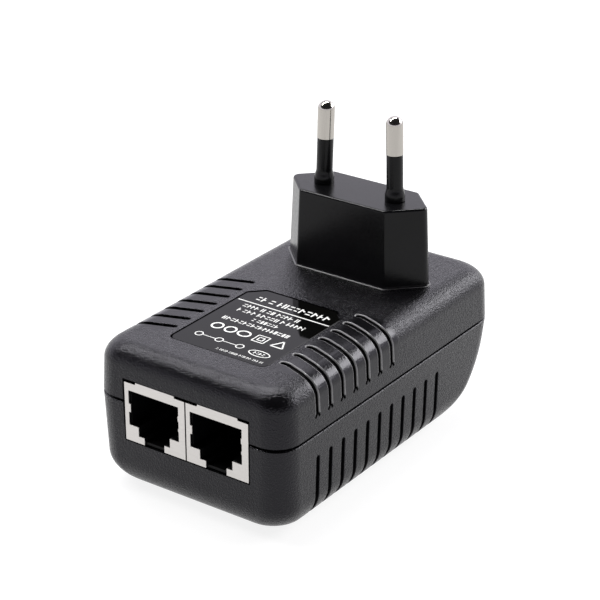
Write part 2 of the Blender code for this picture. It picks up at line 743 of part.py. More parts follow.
def make_diode(name, x, y, look):
    """Axial rectifier lying along y, with its leads bent down into the board."""
    radius, half = 2.6, 4.6
    z = SEAT + radius + 0.6
    diode = finish(name, turned([(-half, radius), (half, radius)], (x, y, z), (0, 1, 0), 16), look)
    leads = bmesh.new()
    for side in (-1, 1):
        out = y + side * (half + 1.8)
        near = y + side * (half - 0.5)
        add_box(leads, (x - 0.4, min(out, near), z - 0.4), (x + 0.4, max(out, near), z + 0.4))
    add(diode, name + "_lead_bars", leads)
    legged(diode, name, pair(x, y, 2 * (half + 1.4), along_x=False), z)
    round_shading(diode)


def square_ring(half_x, half_y, z):
    x, y = TRANSFORMER
    return [(x - half_x, y - half_y, z), (x + half_x, y - half_y, z),
            (x + half_x, y + half_y, z), (x - half_x, y + half_y, z)]


def make_transformer_core():
    x, y = TRANSFORMER
    top = CORE_FOOT + 2 * YOKE + WINDOW_HEIGHT
    core = finish("transformer_core", box(
        (x - CORE_HALF_X, y - CORE_HALF_Y, CORE_FOOT), (x + CORE_HALF_X, y + CORE_HALF_Y, top)), FERRITE)
    windows = bmesh.new()
    for side in (-1, 1):
        inner, outer = x + side * CENTRE_LEG, x + side * (CORE_HALF_X - SIDE_LEG)
        add_box(windows, (min(inner, outer), y - 2 * CORE_HALF_Y, CORE_FOOT + YOKE),
                (max(inner, outer), y + 2 * CORE_HALF_Y, CORE_FOOT + YOKE + WINDOW_HEIGHT))
    cut(core, "core_windows", windows)


def make_transformer_bobbin():
    """Spool on the centre leg, with two pin rails that stand on the board."""
    x, y = TRANSFORMER
    low = CORE_FOOT + YOKE + GAP
    high = CORE_FOOT + YOKE + WINDOW_HEIGHT - GAP
    bore = (CENTRE_LEG + GAP, CORE_HALF_Y + GAP)
    tube = (bore[0] + BOBBIN_WALL, bore[1] + BOBBIN_WALL)
    flange = BOBBIN_HALF
    rings = [square_ring(*flange, low), square_ring(*flange, low + BOBBIN_FLANGE)]
    rings += [square_ring(*tube, low + BOBBIN_FLANGE), square_ring(*tube, high - BOBBIN_FLANGE)]
    rings += [square_ring(*flange, high - BOBBIN_FLANGE), square_ring(*flange, high)]
    bobbin = finish("transformer_bobbin", loft(rings), EPOXY_BLACK)
    cut(bobbin, "bobbin_bore", box((x - bore[0], y - bore[1], low - 1), (x + bore[0], y + bore[1], high + 1)))
    rails = bmesh.new()
    for side in (-1, 1):
        inner = y + side * (CORE_HALF_Y + RAIL_STAND_OFF)
        outer = y + side * (flange[1] + RAIL_OVERHANG)
        add_box(rails, (x - flange[0], min(inner, outer), SEAT),
                (x + flange[0], max(inner, outer), low + BOBBIN_FLANGE / 2))
    add(bobbin, "bobbin_rails", rails)
    places = [(x + dx, y + side * flange[1]) for side in (-1, 1) for dx in (-5.0, 0.0, 5.0)]
    legged(bobbin, "transformer_bobbin", places, SEAT + 1)


def make_transformer_winding():
    x, y = TRANSFORMER
    low = CORE_FOOT + YOKE + 2 * GAP + BOBBIN_FLANGE
    high = CORE_FOOT + YOKE + WINDOW_HEIGHT - 2 * GAP - BOBBIN_FLANGE
    inner = (CENTRE_LEG + 2 * GAP + BOBBIN_WALL, CORE_HALF_Y + 2 * GAP + BOBBIN_WALL)
    outer = (BOBBIN_HALF[0] - 0.2, BOBBIN_HALF[1] - 0.3)
    body = loft([square_ring(*outer, low), square_ring(*outer, high)])
    winding = finish("transformer_winding", body, TAPE_YELLOW)
    cut(winding, "winding_bore", loft([square_ring(*inner, low - 1), square_ring(*inner, high + 1)]))


def make_board():
    outline = rounded_rectangle(BOARD_HALF_WIDTH, BOARD_FRONT, BOARD_BACK, BOARD_CORNER, 3)
    board = finish("circuit_board", flat_prism(outline, BOARD_TOP - BOARD_THICKNESS, BOARD_TOP), BOARD_GREEN)
    holes = bmesh.new()
    low, high = BOARD_TOP - 2 * BOARD_THICKNESS, BOARD_TOP + BOARD_THICKNESS
    for x, y, radius in board_holes:
        add_turned(holes, [(low, radius), (high, radius)], (x, y, 0), (0, 0, 1), 8)
    for x in (-JACK_WIDTH - GAP, 0.0, JACK_WIDTH + GAP):
        front, back = SHIELD_TAB_Y - 2 * GAP, SHIELD_TAB_Y + SHIELD_TAB_WIDTH + 2 * GAP
        add_box(holes, (x - SHIELD_SLOT_HALF, front, low), (x + SHIELD_SLOT_HALF, back, high))
    cut(board, "board_holes", holes)


def make_board_parts():
    make_can("bulk_capacitor", 12.0, 51.5, 12.5, 14.0, 5.0, CAN_GREY)
    make_can("output_capacitor_left", -12.0, 26.0, 8.0, 13.0, 3.5, CAN_GREY)
    make_can("output_capacitor_right", -2.5, 26.0, 8.0, 13.0, 3.5, CAN_GREY)
    make_drum("output_choke", 6.8, 26.0, 7.5, 9.0, 4.0, COPPER)
    make_drum("mains_choke", 0.0, 70.0, 8.0, 9.5, 5.0, COPPER)
    make_can("mains_fuse", 11.2, 70.3, 8.4, 7.6, 5.0, EPOXY_BLACK)
    make_block("bridge_rectifier", -11.0, 69.5, (8.4, 6.2, 3.2),
               [(-2.5, -2.0), (2.5, -2.0), (-2.5, 2.0), (2.5, 2.0)], EPOXY_BLACK)
    make_block("controller_chip", -12.5, 55.0, (9.3, 6.4, 3.4),
               [(dx, dy) for dy in (-2.4, 2.4) for dx in (-3.8, -1.3, 1.3, 3.8)], EPOXY_BLACK)
    make_block("optocoupler", -16.3, 40.0, (4.8, 6.5, 3.5),
               [(-1.6, -2.4), (1.6, -2.4), (-1.6, 2.4), (1.6, 2.4)], EPOXY_BLACK)
    make_disc("isolation_capacitor", 12.5, 37.5, 9.0, 4.0, 5.0, DISC_BLUE)
    make_diode("output_diode", 15.0, 27.0, EPOXY_BLACK)


def main():
    clear_scene()
    make_top_shell()
    make_bottom_shell()
    make_label()
    make_plug_block()
    for name, side in (("left", -1), ("right", 1)):
        make_pin(name, side)
        make_sleeve(name, side)
        make_mains_lead(name, side)
    for name, centre in JACK_CENTRES.items():
        make_shield(name, centre)
        make_housing(name, centre)
        make_insert(name, centre)
        for number in range(1, CONTACTS + 1):
            make_contact(name, centre, number)
    make_transformer_core()
    make_transformer_bobbin()
    make_transformer_winding()
    make_board_parts()
    make_board()


main()
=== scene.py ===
"""Looks for a power-over-ethernet injector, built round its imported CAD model.

Sizes are in millimetres, in the CAD design's own axes: x to the right of the case's middle, y from the
socket face towards the plug end, z up from the parting line of the two shells.  at() turns such a point
into the frame's metres.  The places of the main pieces are read from the frame.
"""

import json
import math
import random

import bmesh
import bpy
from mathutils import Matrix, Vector


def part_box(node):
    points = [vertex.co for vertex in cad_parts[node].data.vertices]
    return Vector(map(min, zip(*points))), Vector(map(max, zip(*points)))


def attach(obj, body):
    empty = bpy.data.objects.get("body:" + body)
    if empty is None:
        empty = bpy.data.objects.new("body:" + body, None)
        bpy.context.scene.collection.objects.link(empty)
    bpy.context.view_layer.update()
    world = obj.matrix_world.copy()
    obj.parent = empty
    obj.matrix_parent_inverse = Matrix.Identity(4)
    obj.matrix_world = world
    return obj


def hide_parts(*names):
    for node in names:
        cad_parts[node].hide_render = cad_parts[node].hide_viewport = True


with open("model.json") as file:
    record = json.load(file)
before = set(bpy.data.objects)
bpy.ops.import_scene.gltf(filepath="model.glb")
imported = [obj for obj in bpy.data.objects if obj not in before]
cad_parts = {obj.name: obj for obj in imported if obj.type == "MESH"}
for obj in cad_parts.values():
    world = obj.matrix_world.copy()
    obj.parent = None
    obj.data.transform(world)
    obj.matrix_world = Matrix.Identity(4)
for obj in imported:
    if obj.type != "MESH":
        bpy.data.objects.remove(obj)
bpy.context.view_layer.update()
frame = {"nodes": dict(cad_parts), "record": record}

MM = 0.001
GAP = 0.3                                   # clearance that the CAD solids keep

top_low, top_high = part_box("top_shell")
base_low, base_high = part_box("bottom_shell")
block_low, block_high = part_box("plug_block")
LIP_HEIGHT = 1.2                            # the base shell's inner lip above the parting line
FRONT = top_low.y                           # socket face
PARTING = base_high.z - LIP_HEIGHT * MM
HALF_WIDTH = top_high.x / MM
LENGTH = (top_high.y - top_low.y) / MM
TOP = (top_high.z - PARTING) / MM           # height of the top face
DEPTH = (PARTING - base_low.z) / MM         # depth of the underside


def at(x, y, z):
    return Vector((x * MM, FRONT + y * MM, PARTING + z * MM))


def design(point):
    """The design coordinates of a point in the frame."""
    return Vector((point.x / MM, (point.y - FRONT) / MM, (point.z - PARTING) / MM))


# ---------------------------------------------------------------- node materials

def new_material(name):
    material = bpy.data.materials.new(name)
    material.use_nodes = True
    return material, material.node_tree, material.node_tree.nodes["Principled BSDF"]


def node(tree, kind, inputs=None, **settings):
    made = tree.nodes.new(kind)
    for key, value in settings.items():
        setattr(made, key, value)
    for key, value in (inputs or {}).items():
        if isinstance(value, bpy.types.NodeSocket):
            tree.links.new(value, made.inputs[key])
        else:
            made.inputs[key].default_value = value
    return made


def object_point(tree):
    """Object coordinates, which are the frame's metres and stay with the piece."""
    return node(tree, "ShaderNodeTexCoord").outputs["Object"]


def noise(tree, point, per_mm, detail=2.0, rough=0.5):
    """Noise with about so many lumps in a millimetre."""
    inputs = {"Vector": point, "Scale": per_mm / MM, "Detail": detail, "Roughness": rough}
    return node(tree, "ShaderNodeTexNoise", inputs).outputs["Fac"]


def maths(tree, operation, *values):
    return node(tree, "ShaderNodeMath", dict(enumerate(values)), operation=operation).outputs[0]


def spread(tree, value, low, high, start=0.3, end=0.7):
    """Map a value from start to end onto low to high.  Noise lies mostly between 0.3 and 0.7."""
    limits = {"Value": value, "From Min": start, "From Max": end, "To Min": low, "To Max": high}
    return node(tree, "ShaderNodeMapRange", limits).outputs[0]


def mix_colour(tree, factor, first, second):
    made = node(tree, "ShaderNodeMix", data_type="RGBA")
    tree.links.new(factor, made.inputs["Factor"])
    made.inputs["A"].default_value = (*first, 1.0)
    made.inputs["B"].default_value = (*second, 1.0)
    return made.outputs["Result"]


def bump(tree, height, depth_mm, strength=1.0):
    inputs = {"Height": height, "Distance": depth_mm * MM, "Strength": strength}
    return node(tree, "ShaderNodeBump", inputs).outputs["Normal"]


def grained(name, dark, light, roughness, grain, depth_mm, metallic=0.0, specular=0.5):
    """A moulded or plated surface: blotches of two near colours, uneven gloss and a fine grain."""
    material, tree, shader = new_material(name)
    point = object_point(tree)
    blotches = spread(tree, noise(tree, point, 0.12, 3.0), 0.0, 1.0)
    tree.links.new(mix_colour(tree, blotches, dark, light), shader.inputs["Base Color"])
    gloss = spread(tree, noise(tree, point, grain * 0.6), roughness[0], roughness[1])
    tree.links.new(gloss, shader.inputs["Roughness"])
    tree.links.new(bump(tree, noise(tree, point, grain), depth_mm), shader.inputs["Normal"])
    shader.inputs["Metallic"].default_value = metallic
    shader.inputs["Specular IOR Level"].default_value = specular
    return material


def inside(tree, value, low, high, soft):
    """1 where a value lies between two limits, with soft ends."""
    rising = spread(tree, value, 0.0, 1.0, low - soft, low + soft)
    falling = spread(tree, value, 0.0, 1.0, high + soft, high - soft)
    return maths(tree, "MULTIPLY", rising, falling)


GRAIN_DEPTH = 0.14              # height of the case texture, in millimetres
GRAIN_SCALE = 2.3               # lumps in a millimetre
PIT_SCALE = 3.5
PIT_SHARE = 0.55                # height of the pits, as a share of the grain's
GRIP_FROM_X = 14.6              # where the smooth ribs between the grip grooves lie, in design millimetres
GRIP_LENGTH = (11.0, 41.5)
GRIP_FROM_Z = 4.2
GRIP_CHANGE = (-0.12, -0.75)    # change of roughness and of bump strength there
WORN_TO_Y = 4.4                 # the worn front edge of the top shell
WORN_FROM_Z = 8.0
WORN_CHANGE = (-0.09, -0.22)
PAST_CASE = 40.0                # anywhere outside the case


def grip_mask(tree, point):
    """1 on the ribs between the grip grooves of the top shell, which are smoother than the rest."""
    x, y, z = node(tree, "ShaderNodeSeparateXYZ", {0: point}).outputs
    front, back = [at(0, limit, 0).y for limit in GRIP_LENGTH]
    across = inside(tree, maths(tree, "ABSOLUTE", x), GRIP_FROM_X * MM, PAST_CASE * MM, 0.9 * MM)
    length = inside(tree, y, front, back, 0.7 * MM)
    height = inside(tree, z, at(0, 0, GRIP_FROM_Z).z, at(0, 0, PAST_CASE).z, 1.2 * MM)
    return maths(tree, "MULTIPLY", maths(tree, "MULTIPLY", across, length), height)


def edge_mask(tree, point):
    """1 on the front edge of the top shell, which handling has worn a little smoother."""
    x, y, z = node(tree, "ShaderNodeSeparateXYZ", {0: point}).outputs
    front = inside(tree, y, at(0, -PAST_CASE, 0).y, at(0, WORN_TO_Y, 0).y, 0.8 * MM)
    upper = inside(tree, z, at(0, 0, WORN_FROM_Z).z, at(0, 0, PAST_CASE).z, 1.5 * MM)
    return maths(tree, "MULTIPLY", front, upper)


def make_case_plastic():
    """Black plastic with a spark-eroded texture: fine pits on a slightly coarser grain."""
    material, tree, shader = new_material("spark_textured_plastic")
    point = object_point(tree)
    blotches = spread(tree, noise(tree, point, 0.15, 3.0), 0.0, 1.0)
    tint = mix_colour(tree, blotches, (0.0028, 0.0027, 0.0032), (0.0044, 0.0043, 0.0050))
    tree.links.new(tint, shader.inputs["Base Color"])
    grip = grip_mask(tree, point)
    worn = edge_mask(tree, point)
    rough = spread(tree, noise(tree, point, 3.0), 0.18, 0.30)
    rough = maths(tree, "MULTIPLY_ADD", worn, WORN_CHANGE[0], rough)
    rough = maths(tree, "MULTIPLY_ADD", grip, GRIP_CHANGE[0], rough)
    tree.links.new(rough, shader.inputs["Roughness"])
    grain = noise(tree, point, GRAIN_SCALE, 3.0, 0.6)
    pits = node(tree, "ShaderNodeTexVoronoi", {"Vector": point, "Scale": PIT_SCALE / MM},
                feature="SMOOTH_F1")
    relief = maths(tree, "MULTIPLY_ADD", pits.outputs["Distance"], PIT_SHARE, grain)
    strength = maths(tree, "MULTIPLY_ADD", worn, WORN_CHANGE[1], 1.0)
    strength = maths(tree, "MULTIPLY_ADD", grip, GRIP_CHANGE[1], strength)
    tree.links.new(bump(tree, relief, GRAIN_DEPTH, strength), shader.inputs["Normal"])
    shader.inputs["Specular IOR Level"].default_value = 0.24
    shader.inputs["Specular Tint"].default_value = (0.93, 0.915, 1.0, 1.0)
    return material


def make_nickel(name, roughness, along, tint):
    """Nickel plate with faint drawing lines along one axis."""
    material, tree, shader = new_material(name)
    point = object_point(tree)
    stretch = [1.0 if i == along else 12.0 for i in range(3)]
    lines = node(tree, "ShaderNodeVectorMath", {0: point, 1: stretch}, operation="MULTIPLY")
    streaks = noise(tree, lines.outputs["Vector"], 0.35, 3.0)
    darker = [channel * 0.93 for channel in tint]
    colour = mix_colour(tree, spread(tree, streaks, 0.0, 1.0), darker, tint)
    tree.links.new(colour, shader.inputs["Base Color"])
    tree.links.new(spread(tree, streaks, roughness[0], roughness[1]), shader.inputs["Roughness"])
    tree.links.new(bump(tree, streaks, 0.004), shader.inputs["Normal"])
    shader.inputs["Metallic"].default_value = 1.0
    return material


def make_board_material():
    """Green solder mask over a faint weave, with darker copper areas beneath."""
    material, tree, shader = new_material("solder_mask")
    point = object_point(tree)
    cells = node(tree, "ShaderNodeTexVoronoi", {"Vector": point, "Scale": 0.35 / MM}, distance="CHEBYCHEV")
    copper = spread(tree, cells.outputs["Distance"], 0.0, 1.0, 0.35, 0.4)
    green = mix_colour(tree, copper, (0.03, 0.15, 0.07), (0.02, 0.10, 0.05))
    tree.links.new(green, shader.inputs["Base Color"])
    tree.links.new(spread(tree, noise(tree, point, 1.0), 0.30, 0.42), shader.inputs["Roughness"])
    tree.links.new(bump(tree, copper, 0.03), shader.inputs["Normal"])
    return material


def make_copper():
    """Enamelled wire wound round an upright core: turns stacked along z."""
    material, tree, shader = new_material("enamelled_winding")
    point = object_point(tree)
    turns = node(tree, "ShaderNodeTexWave", {"Vector": point, "Scale": 0.9 / MM, "Distortion": 0.4},
                 wave_type="BANDS", bands_direction="Z").outputs["Fac"]
    copper = mix_colour(tree, turns, (0.32, 0.11, 0.035), (0.72, 0.31, 0.12))
    tree.links.new(copper, shader.inputs["Base Color"])
    tree.links.new(spread(tree, noise(tree, point, 1.5), 0.25, 0.4), shader.inputs["Roughness"])
    tree.links.new(bump(tree, turns, 0.12), shader.inputs["Normal"])
    shader.inputs["Metallic"].default_value = 0.8
    return material


CASE_PLASTIC = make_case_plastic()
# Walls and floors of the grip grooves: a black darker than the case, painted shade for the shadow inside
# the grooves.
GROOVE_SHADE_PLASTIC = grained("groove_painted_shade", (0.0014, 0.0014, 0.0018), (0.0024, 0.0024, 0.0030),
                         (0.45, 0.60), 4.0, 0.01, specular=0.10)
# Lips of the right-hand top grooves: a light grey that paints the lamps' highlight on their round lips.
LIP_HIGHLIGHT_PLASTIC = grained("lip_painted_highlight", (0.14, 0.138, 0.14), (0.20, 0.198, 0.20), (0.22, 0.30), 3.0, 0.01)
PLUG_PLASTIC = grained("smooth_black_plastic", (0.0020, 0.0020, 0.0023), (0.0036, 0.0036, 0.0042),
                       (0.20, 0.27), 2.2, 0.012, specular=0.17)
# A thin band round the foot of the plug block: a lighter grey, a painted highlight along the foot's flare.
FOOT_HIGHLIGHT_PLASTIC = grained("foot_painted_highlight", (0.050, 0.049, 0.050), (0.090, 0.088, 0.090),
                       (0.3, 0.4), 3.0, 0.01, specular=0.4)
SLEEVE_PLASTIC = grained("sleeve_plastic", (0.0022, 0.0022, 0.0024), (0.0036, 0.0036, 0.0040),
                         (0.20, 0.26), 4.0, 0.003, specular=0.16)
JACK_PLASTIC = grained("jack_plastic", (0.0015, 0.0015, 0.0018), (0.0025, 0.0025, 0.0028),
                       (0.35, 0.45), 3.0, 0.01, specular=0.12)
LABEL_FILM = grained("label_film", (0.0016, 0.0016, 0.0015), (0.0022, 0.0022, 0.0020),
                     (0.03, 0.045), 6.0, 0.0005, specular=0.11)
LABEL_INK = grained("label_ink", (0.62, 0.62, 0.60), (0.74, 0.74, 0.72), (0.45, 0.6), 6.0, 0.004)
SHIELD_NICKEL = make_nickel("shield_nickel", (0.30, 0.40), 0, (0.58, 0.56, 0.54))
PIN_NICKEL = make_nickel("pin_nickel", (0.10, 0.16), 2, (0.40, 0.38, 0.35))

# The CAD nodes that stay, by their material slot.
FINISHES = {
    "jack_plastic": JACK_PLASTIC,
    "contact_gold": grained("contact_gold", (0.70, 0.46, 0.16), (0.85, 0.60, 0.24),
                            (0.20, 0.32), 3.0, 0.004, metallic=1.0),
    "board": make_board_material(),
    "ferrite": grained("ferrite", (0.035, 0.035, 0.04), (0.06, 0.06, 0.065), (0.5, 0.7), 3.0, 0.03),
    "copper": make_copper(),
    "tape": grained("winding_tape", (0.70, 0.50, 0.07), (0.82, 0.64, 0.12), (0.3, 0.45), 1.0, 0.02),
    "epoxy": grained("moulding_compound", (0.014, 0.014, 0.015), (0.022, 0.022, 0.023),
                     (0.45, 0.6), 4.0, 0.02),
    "can": grained("can_sleeve", (0.05, 0.055, 0.075), (0.07, 0.075, 0.10), (0.25, 0.35), 2.0, 0.01),
    "disc": grained("dipped_epoxy", (0.03, 0.10, 0.30), (0.06, 0.16, 0.42), (0.25, 0.4), 1.2, 0.05),
    "wire": grained("wire_insulation", (0.36, 0.02, 0.02), (0.46, 0.03, 0.03), (0.35, 0.5), 2.0, 0.01),
}


# ---------------------------------------------------------------- mesh helpers

def add_loft(bm, rings, closed=False, paint=None):
    """Skin rings of equal length.  An open row of rings gets two caps; a closed one joins its ends.

    paint gives the number of the material for each stretch round the rings.
    """
    rows = [[bm.verts.new(point) for point in ring] for ring in rings]
    count = len(rows[0])
    following = rows[1:] + rows[:1] if closed else rows[1:]
    for lower, upper in zip(rows, following):
        for i in range(count):
            j = (i + 1) % count
            face = bm.faces.new((lower[i], lower[j], upper[j], upper[i]))
            face.material_index = paint[i] if paint else 0
    if not closed:
        bm.faces.new(rows[0])
        bm.faces.new(rows[-1])


def loft(rings, closed=False):
    bm = bmesh.new()
    add_loft(bm, rings, closed)
    return bm


def prism(outline, low, high):
    """Extrude an (x, y) outline along z."""
    return loft([[(x, y, z) for x, y in outline] for z in (low, high)])


def front_prism(outline, low, high):
    """Extrude an (x, z) outline along y."""
    return loft([[(x, y, z) for x, z in outline] for y in (low, high)])


def box(low, high):
    corners = ((low[0], low[1]), (high[0], low[1]), (high[0], high[1]), (low[0], high[1]))
    return prism(corners, low[2], high[2])


def link_mesh(name, bm):
    """Put a mesh given in design millimetres into the scene, in the frame's metres."""
    bmesh.ops.recalc_face_normals(bm, faces=bm.faces)
    for vertex in bm.verts:
        vertex.co = at(*vertex.co)
    mesh = bpy.data.meshes.new(name)
    bm.to_mesh(mesh)
    bm.free()
    thing = bpy.data.objects.new(name, mesh)
    bpy.context.scene.collection.objects.link(thing)
    return thing


def apply_modifiers(thing):
    bpy.context.view_layer.update()
    graph = bpy.context.evaluated_depsgraph_get()
    made = bpy.data.meshes.new_from_object(thing.evaluated_get(graph))
    thing.modifiers.clear()
    thing.data = made


def cut(thing, bm, materials=()):
    """Take a helper away.  If the helper has materials of its own, the faces that it makes keep them."""
    helper = link_mesh("helper", bm)
    for material in materials:
        helper.data.materials.append(material)
    step = thing.modifiers.new("step", "BOOLEAN")
    step.operation = "DIFFERENCE"
    step.solver = "EXACT"
    step.material_mode = "TRANSFER" if materials else "INDEX"
    step.object = helper
    apply_modifiers(thing)
    bpy.data.objects.remove(helper, do_unlink=True)


def settle(thing, material, nodes, sharp=32.0):
    """Shade a piece of the case, paint it, and let it stand for its CAD nodes."""
    if not thing.data.materials:
        thing.data.materials.append(material)
    thing.data.shade_smooth()
    thing.data.set_sharp_from_angle(angle=math.radians(sharp))
    weighted = thing.modifiers.new("weighted_normals", "WEIGHTED_NORMAL")
    weighted.keep_sharp = True
    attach(thing, "case")
    if nodes:
        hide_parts(*nodes)
    return thing


def round_edges(thing, width, segments=2, angle=40.0):
    step = thing.modifiers.new("round_edges", "BEVEL")
    step.width = width * MM
    step.segments = segments
    step.limit_method = "ANGLE"
    step.angle_limit = math.radians(angle)
    apply_modifiers(thing)


def rounded_polygon(corners, radii, steps=6):
    """An outline through corners given anticlockwise, each rounded to its own radius."""
    outline = []
    count = len(corners)
    for i, corner in enumerate(corners):
        corner = Vector(corner)
        before = (Vector(corners[i - 1]) - corner).normalized()
        after = (Vector(corners[(i + 1) % count]) - corner).normalized()
        half_angle = before.angle(after) / 2
        reach = radii[i] / math.tan(half_angle)
        centre = corner + (before + after).normalized() * radii[i] / math.sin(half_angle)
        start, end = corner + before * reach - centre, corner + after * reach - centre
        turn = math.pi - 2 * half_angle
        for k in range(steps + 1):
            angle = turn * k / steps
            x = start.x * math.cos(angle) - start.y * math.sin(angle)
            y = start.x * math.sin(angle) + start.y * math.cos(angle)
            outline.append((centre.x + x, centre.y + y))
        assert (Vector(outline[-1]) - centre - end).length < 0.01
    return outline


def shell_outline(half_width, front, back, front_radius, back_radius, steps=12):
    corners = [(half_width, front), (half_width, back), (-half_width, back), (-half_width, front)]
    return rounded_polygon(corners, [front_radius, back_radius, back_radius, front_radius], steps)


TURN_STEPS = 48


def turned(profile, origin, direction):
    """Turn a profile of (distance along the axis, radius) about an axis given in design millimetres."""
    origin, direction = Vector(origin), Vector(direction).normalized()
    first = direction.cross(Vector((0, 1, 0))).normalized()
    second = direction.cross(first)
    rings = []
    for along, radius in profile:
        ring = []
        for i in range(TURN_STEPS):
            angle = 2 * math.pi * i / TURN_STEPS
            spoke = math.cos(angle) * first + math.sin(angle) * second
            ring.append(origin + along * direction + radius * spoke)
        rings.append(ring)
    return rings


# ---------------------------------------------------------------- case shells

WALL = 2.0
LIP = 1.3                       # how far the base shell's inner lip stands in from the outside
REBATE = (1.0, 0.4)             # the top shell's wall outside that lip, and its clearance over the lip
CORNER_RADII = (5.8, 6.2)       # at the front and the back
CORNER_LOSS = 0.25              # share of the edge round's inset that the plan radius loses
TOP_ROUND = 4.3
BASE_ROUND = 7.0
BACK_SWEEP = 17.4               # the big round from the back down to the underside
TOP_DRAFT = math.radians(3.0)   # of the long sides
END_DRAFT = math.radians(1.0)   # of the socket face and the back, on the top shell
BASE_DRAFT = math.radians(1.3)
CORNER_GROWTH = (0.5, 4.0)      # how much larger the front and back corners' radius is at the underside
ROUND_STEPS = 12                # facets in a quarter of an edge round
SEAM_GAP = 0.5
SEAM_ROUND = 0.16               # broken edge on each side of the parting line


def edge_inset(drop, depth, radius, draft):
    """How far a wall has moved in at a distance from the parting line."""
    over = max(drop - (depth - radius), 0.0)
    return drop * math.tan(draft) + radius - math.sqrt(max(radius * radius - over * over, 0.0))


def round_levels(depth, radius, steps=ROUND_STEPS):
    return [depth - radius + radius * math.sin(math.pi / 2 * i / steps) for i in range(steps + 1)]


def top_ring(z, inset, extra=0.0):
    side = inset + edge_inset(z, TOP - inset, TOP_ROUND - inset, TOP_DRAFT) + extra
    end = inset + edge_inset(z, TOP - inset, TOP_ROUND - inset, END_DRAFT) + extra
    radii = [radius - inset - CORNER_LOSS * (end - inset) for radius in CORNER_RADII]
    outline = shell_outline(HALF_WIDTH - side, end, LENGTH - end, *radii)
    return [(x, y, z) for x, y in outline]


def base_ring(drop, inset, extra=0.0):
    side = inset + edge_inset(drop, DEPTH - inset, BASE_ROUND - inset, BASE_DRAFT) + extra
    back = inset + edge_inset(drop, DEPTH - inset, BACK_SWEEP - inset, BASE_DRAFT) + extra
    radii = [radius - inset + growth * drop / DEPTH for radius, growth in zip(CORNER_RADII, CORNER_GROWTH)]
    outline = shell_outline(HALF_WIDTH - side, side, LENGTH - back, *radii)
    return [(x, y, -drop) for x, y in outline]


def raised(ring, z):
    return [(x, y, z) for x, y, _ in ring]


# Grip grooves: a slot with rounded lips, swept along the surface.
PITCH = 4.5
TOP_GROOVES = 7
TOP_FIRST = 12.15
TOP_INNER_X = 14.15
HOOK_FROM = 15.9                # the inner end on the right curls towards the sockets by HOOK
HOOK = 0.7
TOP_SLOPE = 0.365               # how far back the groove runs for each step inwards
TOP_BEND_X = 21.2               # the slanted part ends here
TOP_END = 3.65
TOP_SHIFT = 0.2                 # the inner ends sit this far to the right
TOP_BEND = 0.8                  # length over which the slant starts
TOP_SLOT = (0.54, 0.28, 0.90)   # half width, lip radius, depth
TAIL_FROM = 4.35                # where a groove splits into two fine legs
TAIL_REACH = (-0.95, 0.60)      # how far they spread
TAIL_START = (0.15, 0.3)        # share of its spread that a leg starts with, and its start above TAIL_FROM
TAIL_SLOT = (0.23, 0.08, 0.60)
BASE_GROOVES = 11
BASE_FIRST = 12.15
BASE_TOP = 5.0
BASE_INNER_X = 14.5
BASE_SLOT = (0.60, 0.14, 1.35)
LIP_STEPS = 5
FLAT_STEPS = 12                 # stations on the flat part of a top groove
OVERHANG = 0.35                 # how far a cutter reaches past the lips, above the surface
OVERHANG_HEIGHTS = (0.7, 0.07)
FLOOR_BEVEL = 0.12
END_TURNS = (20, 40, 58, 72, 82, 88)        # degrees, closer together towards the tip of a round end


def slot_section(slot):
    """The cutter's section as (across, up): an overhang, the round lips, the walls and the floor."""
    half, lip, depth = slot
    points = [(half + lip + OVERHANG, height) for height in OVERHANG_HEIGHTS]
    for i in range(1, LIP_STEPS + 1):
        angle = math.pi / 2 * i / LIP_STEPS
        points.append((half + lip * (1 - math.sin(angle)), -lip * (1 - math.cos(angle))))
    points += [(half, FLOOR_BEVEL - depth), (half - FLOOR_BEVEL, -depth)]
    return points + [(-u, v) for u, v in reversed(points)]


def slot_paint(slot):
    """0 for the walls and floor of a slot, 1 for its lips."""
    sides = [0] + [1] * LIP_STEPS + [0, 0]
    return sides + [0] + sides[::-1] + [0]


def sweep_slot(bm, slot, stations):
    """Stations are (point, outward normal, turn).  In a round end the turn is an angle and a direction."""
    rings = []
    paths = [station[0] for station in stations]
    last = len(stations) - 1
    for i, (point, normal, turn) in enumerate(stations):
        along = (paths[min(i + 1, last)] - paths[max(i - 1, 0)]).normalized()
        angle = 0.0
        if turn:
            angle, along = turn
        side = along.cross(normal).normalized()
        ring = []
        for u, v in slot_section(slot):
            ring.append(point + along * abs(u) * math.sin(angle) + side * u * math.cos(angle) + normal * v)
        rings.append(ring)
    add_loft(bm, rings, paint=slot_paint(slot))


def round_end(point, direction, normal, leading):
    """Rings that close a slot with a half circle about a point.  direction leads out of the slot."""
    rings = []
    for degrees in END_TURNS:
        sense = -1 if leading else 1
        rings.append((point, normal, (sense * math.radians(degrees), direction * sense)))
    return rings[::-1] if leading else rings


def side_point(side, y, z):
    return Vector((side * (HALF_WIDTH - edge_inset(z, TOP, TOP_ROUND, TOP_DRAFT)), y, z))


